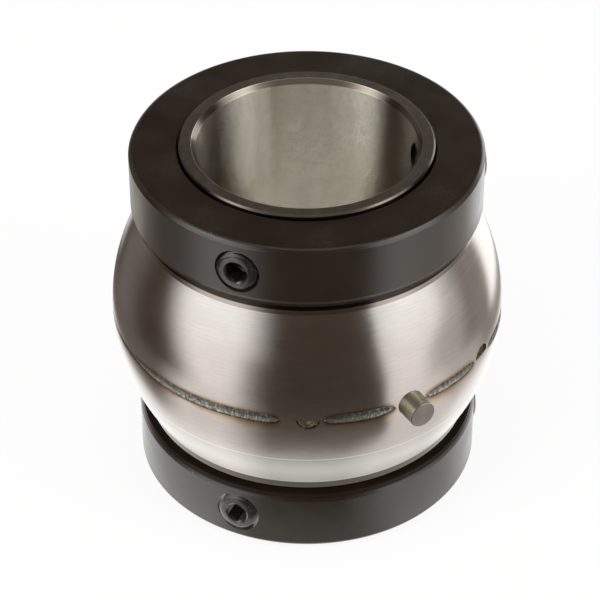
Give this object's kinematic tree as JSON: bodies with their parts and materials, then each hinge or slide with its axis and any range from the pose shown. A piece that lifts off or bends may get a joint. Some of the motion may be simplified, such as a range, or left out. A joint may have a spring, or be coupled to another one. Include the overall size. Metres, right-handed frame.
{
  "type": "insert bearing",
  "caption": "Spherical-outside insert bearing with double-row tapered rollers, a locking collar with set screws at each end of the long inner ring, and a radial anti-rotation pin.",
  "frame": {"origin": "centre of the bearing, on the shaft axis at the middle of the outer race", "axes": "+Z along the shaft axis, up as it stands on one end of the inner ring; -Y towards the viewer, with the anti-rotation pin 30.2 degrees round from -Y towards +X"},
  "size_m": [0.0924, 0.0924, 0.0888],
  "materials": {
    "ground_steel": "turned and ground bearing steel, brown-grey",
    "ring_steel": "ground bearing steel, olive grey",
    "roller_steel": "polished",
    "cage_steel": "pressed steel sheet",
    "seal_sheet": "pressed steel sheet",
    "seal_rubber": "moulded",
    "black_oxide": "black oxide on turned steel, satin",
    "screw_steel": "black oxide on alloy steel",
    "pin_steel": "turned",
    "weld_metal": "rippled weld bead with heat tint beside it"
  },
  "bodies": {
    "outer_race": {"outer_race_upper": "ground_steel", "outer_race_lower": "ground_steel", "weld_bead_left": "weld_metal", "weld_bead_before_pin": "weld_metal", "weld_bead_after_pin": "weld_metal", "weld_bead_right": "weld_metal", "anti_rotation_pin": "pin_steel", "seal_shell_upper": "seal_sheet", "seal_shell_lower": "seal_sheet", "seal_lip_upper": "seal_rubber", "seal_lip_lower": "seal_rubber"},
    "shaft_group": {"inner_ring": "ring_steel", "collar_upper": "black_oxide", "collar_lower": "black_oxide"},
    "cage_upper": {"cage_upper": "cage_steel"},
    "cage_lower": {"cage_lower": "cage_steel"},
    "roller_upper_01": {"roller_upper_01": "roller_steel"},
    "roller_upper_02": {"roller_upper_02": "roller_steel"},
    "roller_upper_03": {"roller_upper_03": "roller_steel"},
    "roller_upper_04": {"roller_upper_04": "roller_steel"},
    "roller_upper_05": {"roller_upper_05": "roller_steel"},
    "roller_upper_06": {"roller_upper_06": "roller_steel"},
    "roller_upper_07": {"roller_upper_07": "roller_steel"},
    "roller_upper_08": {"roller_upper_08": "roller_steel"},
    "roller_upper_09": {"roller_upper_09": "roller_steel"},
    "roller_upper_10": {"roller_upper_10": "roller_steel"},
    "roller_upper_11": {"roller_upper_11": "roller_steel"},
    "roller_upper_12": {"roller_upper_12": "roller_steel"},
    "roller_upper_13": {"roller_upper_13": "roller_steel"},
    "roller_upper_14": {"roller_upper_14": "roller_steel"},
    "roller_upper_15": {"roller_upper_15": "roller_steel"},
    "roller_upper_16": {"roller_upper_16": "roller_steel"},
    "roller_upper_17": {"roller_upper_17": "roller_steel"},
    "roller_upper_18": {"roller_upper_18": "roller_steel"},
    "roller_lower_01": {"roller_lower_01": "roller_steel"},
    "roller_lower_02": {"roller_lower_02": "roller_steel"},
    "roller_lower_03": {"roller_lower_03": "roller_steel"},
    "roller_lower_04": {"roller_lower_04": "roller_steel"},
    "roller_lower_05": {"roller_lower_05": "roller_steel"},
    "roller_lower_06": {"roller_lower_06": "roller_steel"},
    "roller_lower_07": {"roller_lower_07": "roller_steel"},
    "roller_lower_08": {"roller_lower_08": "roller_steel"},
    "roller_lower_09": {"roller_lower_09": "roller_steel"},
    "roller_lower_10": {"roller_lower_10": "roller_steel"},
    "roller_lower_11": {"roller_lower_11": "roller_steel"},
    "roller_lower_12": {"roller_lower_12": "roller_steel"},
    "roller_lower_13": {"roller_lower_13": "roller_steel"},
    "roller_lower_14": {"roller_lower_14": "roller_steel"},
    "roller_lower_15": {"roller_lower_15": "roller_steel"},
    "roller_lower_16": {"roller_lower_16": "roller_steel"},
    "roller_lower_17": {"roller_lower_17": "roller_steel"},
    "roller_lower_18": {"roller_lower_18": "roller_steel"},
    "set_screw_upper_front": {"set_screw_upper_front": "screw_steel"},
    "set_screw_upper_side": {"set_screw_upper_side": "screw_steel"},
    "set_screw_lower_front": {"set_screw_lower_front": "screw_steel"},
    "set_screw_lower_side": {"set_screw_lower_side": "screw_steel"}
  },
  "joints": [
    {"name": "ring_spin", "type": "hinge", "parent": "outer_race", "child": "shaft_group", "pos_m": [0, 0, 0], "axis": [0, 0, 1], "continuous": true},
    {"name": "cage_upper_turn", "type": "hinge", "parent": "outer_race", "child": "cage_upper", "pos_m": [0, 0, 0], "axis": [0, 0, 1], "continuous": true},
    {"name": "cage_lower_turn", "type": "hinge", "parent": "outer_race", "child": "cage_lower", "pos_m": [0, 0, 0], "axis": [0, 0, 1], "continuous": true},
    {"name": "roller_upper_01_spin", "type": "hinge", "parent": "cage_upper", "child": "roller_upper_01", "pos_m": [0, -0.03494, 0.01164], "axis": [0, 0.2164, 0.9763], "continuous": true},
    {"name": "roller_upper_02_spin", "type": "hinge", "parent": "cage_upper", "child": "roller_upper_02", "pos_m": [0.01195, -0.03284, 0.01164], "axis": [-0.074, 0.2034, 0.9763], "continuous": true},
    {"name": "roller_upper_03_spin", "type": "hinge", "parent": "cage_upper", "child": "roller_upper_03", "pos_m": [0.02246, -0.02677, 0.01164], "axis": [-0.1391, 0.1658, 0.9763], "continuous": true},
    {"name": "roller_upper_04_spin", "type": "hinge", "parent": "cage_upper", "child": "roller_upper_04", "pos_m": [0.03026, -0.01747, 0.01164], "axis": [-0.1874, 0.1082, 0.9763], "continuous": true},
    {"name": "roller_upper_05_spin", "type": "hinge", "parent": "cage_upper", "child": "roller_upper_05", "pos_m": [0.03441, -0.00607, 0.01164], "axis": [-0.2132, 0.0376, 0.9763], "continuous": true},
    {"name": "roller_upper_06_spin", "type": "hinge", "parent": "cage_upper", "child": "roller_upper_06", "pos_m": [0.03441, 0.00607, 0.01164], "axis": [-0.2132, -0.0376, 0.9763], "continuous": true},
    {"name": "roller_upper_07_spin", "type": "hinge", "parent": "cage_upper", "child": "roller_upper_07", "pos_m": [0.03026, 0.01747, 0.01164], "axis": [-0.1874, -0.1082, 0.9763], "continuous": true},
    {"name": "roller_upper_08_spin", "type": "hinge", "parent": "cage_upper", "child": "roller_upper_08", "pos_m": [0.02246, 0.02677, 0.01164], "axis": [-0.1391, -0.1658, 0.9763], "continuous": true},
    {"name": "roller_upper_09_spin", "type": "hinge", "parent": "cage_upper", "child": "roller_upper_09", "pos_m": [0.01195, 0.03284, 0.01164], "axis": [-0.074, -0.2034, 0.9763], "continuous": true},
    {"name": "roller_upper_10_spin", "type": "hinge", "parent": "cage_upper", "child": "roller_upper_10", "pos_m": [0, 0.03494, 0.01164], "axis": [0, -0.2164, 0.9763], "continuous": true},
    {"name": "roller_upper_11_spin", "type": "hinge", "parent": "cage_upper", "child": "roller_upper_11", "pos_m": [-0.01195, 0.03284, 0.01164], "axis": [0.074, -0.2034, 0.9763], "continuous": true},
    {"name": "roller_upper_12_spin", "type": "hinge", "parent": "cage_upper", "child": "roller_upper_12", "pos_m": [-0.02246, 0.02677, 0.01164], "axis": [0.1391, -0.1658, 0.9763], "continuous": true},
    {"name": "roller_upper_13_spin", "type": "hinge", "parent": "cage_upper", "child": "roller_upper_13", "pos_m": [-0.03026, 0.01747, 0.01164], "axis": [0.1874, -0.1082, 0.9763], "continuous": true},
    {"name": "roller_upper_14_spin", "type": "hinge", "parent": "cage_upper", "child": "roller_upper_14", "pos_m": [-0.03441, 0.00607, 0.01164], "axis": [0.2132, -0.0376, 0.9763], "continuous": true},
    {"name": "roller_upper_15_spin", "type": "hinge", "parent": "cage_upper", "child": "roller_upper_15", "pos_m": [-0.03441, -0.00607, 0.01164], "axis": [0.2132, 0.0376, 0.9763], "continuous": true},
    {"name": "roller_upper_16_spin", "type": "hinge", "parent": "cage_upper", "child": "roller_upper_16", "pos_m": [-0.03026, -0.01747, 0.01164], "axis": [0.1874, 0.1082, 0.9763], "continuous": true},
    {"name": "roller_upper_17_spin", "type": "hinge", "parent": "cage_upper", "child": "roller_upper_17", "pos_m": [-0.02246, -0.02677, 0.01164], "axis": [0.1391, 0.1658, 0.9763], "continuous": true},
    {"name": "roller_upper_18_spin", "type": "hinge", "parent": "cage_upper", "child": "roller_upper_18", "pos_m": [-0.01195, -0.03284, 0.01164], "axis": [0.074, 0.2034, 0.9763], "continuous": true},
    {"name": "roller_lower_01_spin", "type": "hinge", "parent": "cage_lower", "child": "roller_lower_01", "pos_m": [0.00607, -0.03441, -0.01164], "axis": [0.0376, -0.2132, 0.9763], "continuous": true},
    {"name": "roller_lower_02_spin", "type": "hinge", "parent": "cage_lower", "child": "roller_lower_02", "pos_m": [0.01747, -0.03026, -0.01164], "axis": [0.1082, -0.1874, 0.9763], "continuous": true},
    {"name": "roller_lower_03_spin", "type": "hinge", "parent": "cage_lower", "child": "roller_lower_03", "pos_m": [0.02677, -0.02246, -0.01164], "axis": [0.1658, -0.1391, 0.9763], "continuous": true},
    {"name": "roller_lower_04_spin", "type": "hinge", "parent": "cage_lower", "child": "roller_lower_04", "pos_m": [0.03284, -0.01195, -0.01164], "axis": [0.2034, -0.074, 0.9763], "continuous": true},
    {"name": "roller_lower_05_spin", "type": "hinge", "parent": "cage_lower", "child": "roller_lower_05", "pos_m": [0.03494, 0, -0.01164], "axis": [0.2164, 0, 0.9763], "continuous": true},
    {"name": "roller_lower_06_spin", "type": "hinge", "parent": "cage_lower", "child": "roller_lower_06", "pos_m": [0.03284, 0.01195, -0.01164], "axis": [0.2034, 0.074, 0.9763], "continuous": true},
    {"name": "roller_lower_07_spin", "type": "hinge", "parent": "cage_lower", "child": "roller_lower_07", "pos_m": [0.02677, 0.02246, -0.01164], "axis": [0.1658, 0.1391, 0.9763], "continuous": true},
    {"name": "roller_lower_08_spin", "type": "hinge", "parent": "cage_lower", "child": "roller_lower_08", "pos_m": [0.01747, 0.03026, -0.01164], "axis": [0.1082, 0.1874, 0.9763], "continuous": true},
    {"name": "roller_lower_09_spin", "type": "hinge", "parent": "cage_lower", "child": "roller_lower_09", "pos_m": [0.00607, 0.03441, -0.01164], "axis": [0.0376, 0.2132, 0.9763], "continuous": true},
    {"name": "roller_lower_10_spin", "type": "hinge", "parent": "cage_lower", "child": "roller_lower_10", "pos_m": [-0.00607, 0.03441, -0.01164], "axis": [-0.0376, 0.2132, 0.9763], "continuous": true},
    {"name": "roller_lower_11_spin", "type": "hinge", "parent": "cage_lower", "child": "roller_lower_11", "pos_m": [-0.01747, 0.03026, -0.01164], "axis": [-0.1082, 0.1874, 0.9763], "continuous": true},
    {"name": "roller_lower_12_spin", "type": "hinge", "parent": "cage_lower", "child": "roller_lower_12", "pos_m": [-0.02677, 0.02246, -0.01164], "axis": [-0.1658, 0.1391, 0.9763], "continuous": true},
    {"name": "roller_lower_13_spin", "type": "hinge", "parent": "cage_lower", "child": "roller_lower_13", "pos_m": [-0.03284, 0.01195, -0.01164], "axis": [-0.2034, 0.074, 0.9763], "continuous": true},
    {"name": "roller_lower_14_spin", "type": "hinge", "parent": "cage_lower", "child": "roller_lower_14", "pos_m": [-0.03494, 0, -0.01164], "axis": [-0.2164, 0, 0.9763], "continuous": true},
    {"name": "roller_lower_15_spin", "type": "hinge", "parent": "cage_lower", "child": "roller_lower_15", "pos_m": [-0.03284, -0.01195, -0.01164], "axis": [-0.2034, -0.074, 0.9763], "continuous": true},
    {"name": "roller_lower_16_spin", "type": "hinge", "parent": "cage_lower", "child": "roller_lower_16", "pos_m": [-0.02677, -0.02246, -0.01164], "axis": [-0.1658, -0.1391, 0.9763], "continuous": true},
    {"name": "roller_lower_17_spin", "type": "hinge", "parent": "cage_lower", "child": "roller_lower_17", "pos_m": [-0.01747, -0.03026, -0.01164], "axis": [-0.1082, -0.1874, 0.9763], "continuous": true},
    {"name": "roller_lower_18_spin", "type": "hinge", "parent": "cage_lower", "child": "roller_lower_18", "pos_m": [-0.00607, -0.03441, -0.01164], "axis": [-0.0376, -0.2132, 0.9763], "continuous": true},
    {"name": "set_screw_upper_front_travel", "type": "slide", "parent": "shaft_group", "child": "set_screw_upper_front", "axis": [-0.3827, -0.9239, 0], "range_m": [-0.0028, 0.003]},
    {"name": "set_screw_upper_side_travel", "type": "slide", "parent": "shaft_group", "child": "set_screw_upper_side", "axis": [0.9914, 0.1305, 0], "range_m": [-0.0028, 0.003]},
    {"name": "set_screw_lower_front_travel", "type": "slide", "parent": "shaft_group", "child": "set_screw_lower_front", "axis": [-0.4083, -0.9128, 0], "range_m": [-0.0028, 0.003]},
    {"name": "set_screw_lower_side_travel", "type": "slide", "parent": "shaft_group", "child": "set_screw_lower_side", "axis": [0.9947, 0.1028, 0], "range_m": [-0.0028, 0.003]}
  ],
  "couplings": [
    {"joint": "cage_upper_turn", "follows": "ring_spin", "ratio": 0.44552},
    {"joint": "cage_lower_turn", "follows": "ring_spin", "ratio": 0.44552},
    {"joint": "roller_upper_01_spin", "follows": "ring_spin", "ratio": -4.4267},
    {"joint": "roller_upper_02_spin", "follows": "ring_spin", "ratio": -4.4267},
    {"joint": "roller_upper_03_spin", "follows": "ring_spin", "ratio": -4.4267},
    {"joint": "roller_upper_04_spin", "follows": "ring_spin", "ratio": -4.4267},
    {"joint": "roller_upper_05_spin", "follows": "ring_spin", "ratio": -4.4267},
    {"joint": "roller_upper_06_spin", "follows": "ring_spin", "ratio": -4.4267},
    {"joint": "roller_upper_07_spin", "follows": "ring_spin", "ratio": -4.4267},
    {"joint": "roller_upper_08_spin", "follows": "ring_spin", "ratio": -4.4267},
    {"joint": "roller_upper_09_spin", "follows": "ring_spin", "ratio": -4.4267},
    {"joint": "roller_upper_10_spin", "follows": "ring_spin", "ratio": -4.4267},
    {"joint": "roller_upper_11_spin", "follows": "ring_spin", "ratio": -4.4267},
    {"joint": "roller_upper_12_spin", "follows": "ring_spin", "ratio": -4.4267},
    {"joint": "roller_upper_13_spin", "follows": "ring_spin", "ratio": -4.4267},
    {"joint": "roller_upper_14_spin", "follows": "ring_spin", "ratio": -4.4267},
    {"joint": "roller_upper_15_spin", "follows": "ring_spin", "ratio": -4.4267},
    {"joint": "roller_upper_16_spin", "follows": "ring_spin", "ratio": -4.4267},
    {"joint": "roller_upper_17_spin", "follows": "ring_spin", "ratio": -4.4267},
    {"joint": "roller_upper_18_spin", "follows": "ring_spin", "ratio": -4.4267},
    {"joint": "roller_lower_01_spin", "follows": "ring_spin", "ratio": -4.4267},
    {"joint": "roller_lower_02_spin", "follows": "ring_spin", "ratio": -4.4267},
    {"joint": "roller_lower_03_spin", "follows": "ring_spin", "ratio": -4.4267},
    {"joint": "roller_lower_04_spin", "follows": "ring_spin", "ratio": -4.4267},
    {"joint": "roller_lower_05_spin", "follows": "ring_spin", "ratio": -4.4267},
    {"joint": "roller_lower_06_spin", "follows": "ring_spin", "ratio": -4.4267},
    {"joint": "roller_lower_07_spin", "follows": "ring_spin", "ratio": -4.4267},
    {"joint": "roller_lower_08_spin", "follows": "ring_spin", "ratio": -4.4267},
    {"joint": "roller_lower_09_spin", "follows": "ring_spin", "ratio": -4.4267},
    {"joint": "roller_lower_10_spin", "follows": "ring_spin", "ratio": -4.4267},
    {"joint": "roller_lower_11_spin", "follows": "ring_spin", "ratio": -4.4267},
    {"joint": "roller_lower_12_spin", "follows": "ring_spin", "ratio": -4.4267},
    {"joint": "roller_lower_13_spin", "follows": "ring_spin", "ratio": -4.4267},
    {"joint": "roller_lower_14_spin", "follows": "ring_spin", "ratio": -4.4267},
    {"joint": "roller_lower_15_spin", "follows": "ring_spin", "ratio": -4.4267},
    {"joint": "roller_lower_16_spin", "follows": "ring_spin", "ratio": -4.4267},
    {"joint": "roller_lower_17_spin", "follows": "ring_spin", "ratio": -4.4267},
    {"joint": "roller_lower_18_spin", "follows": "ring_spin", "ratio": -4.4267}
  ]
}
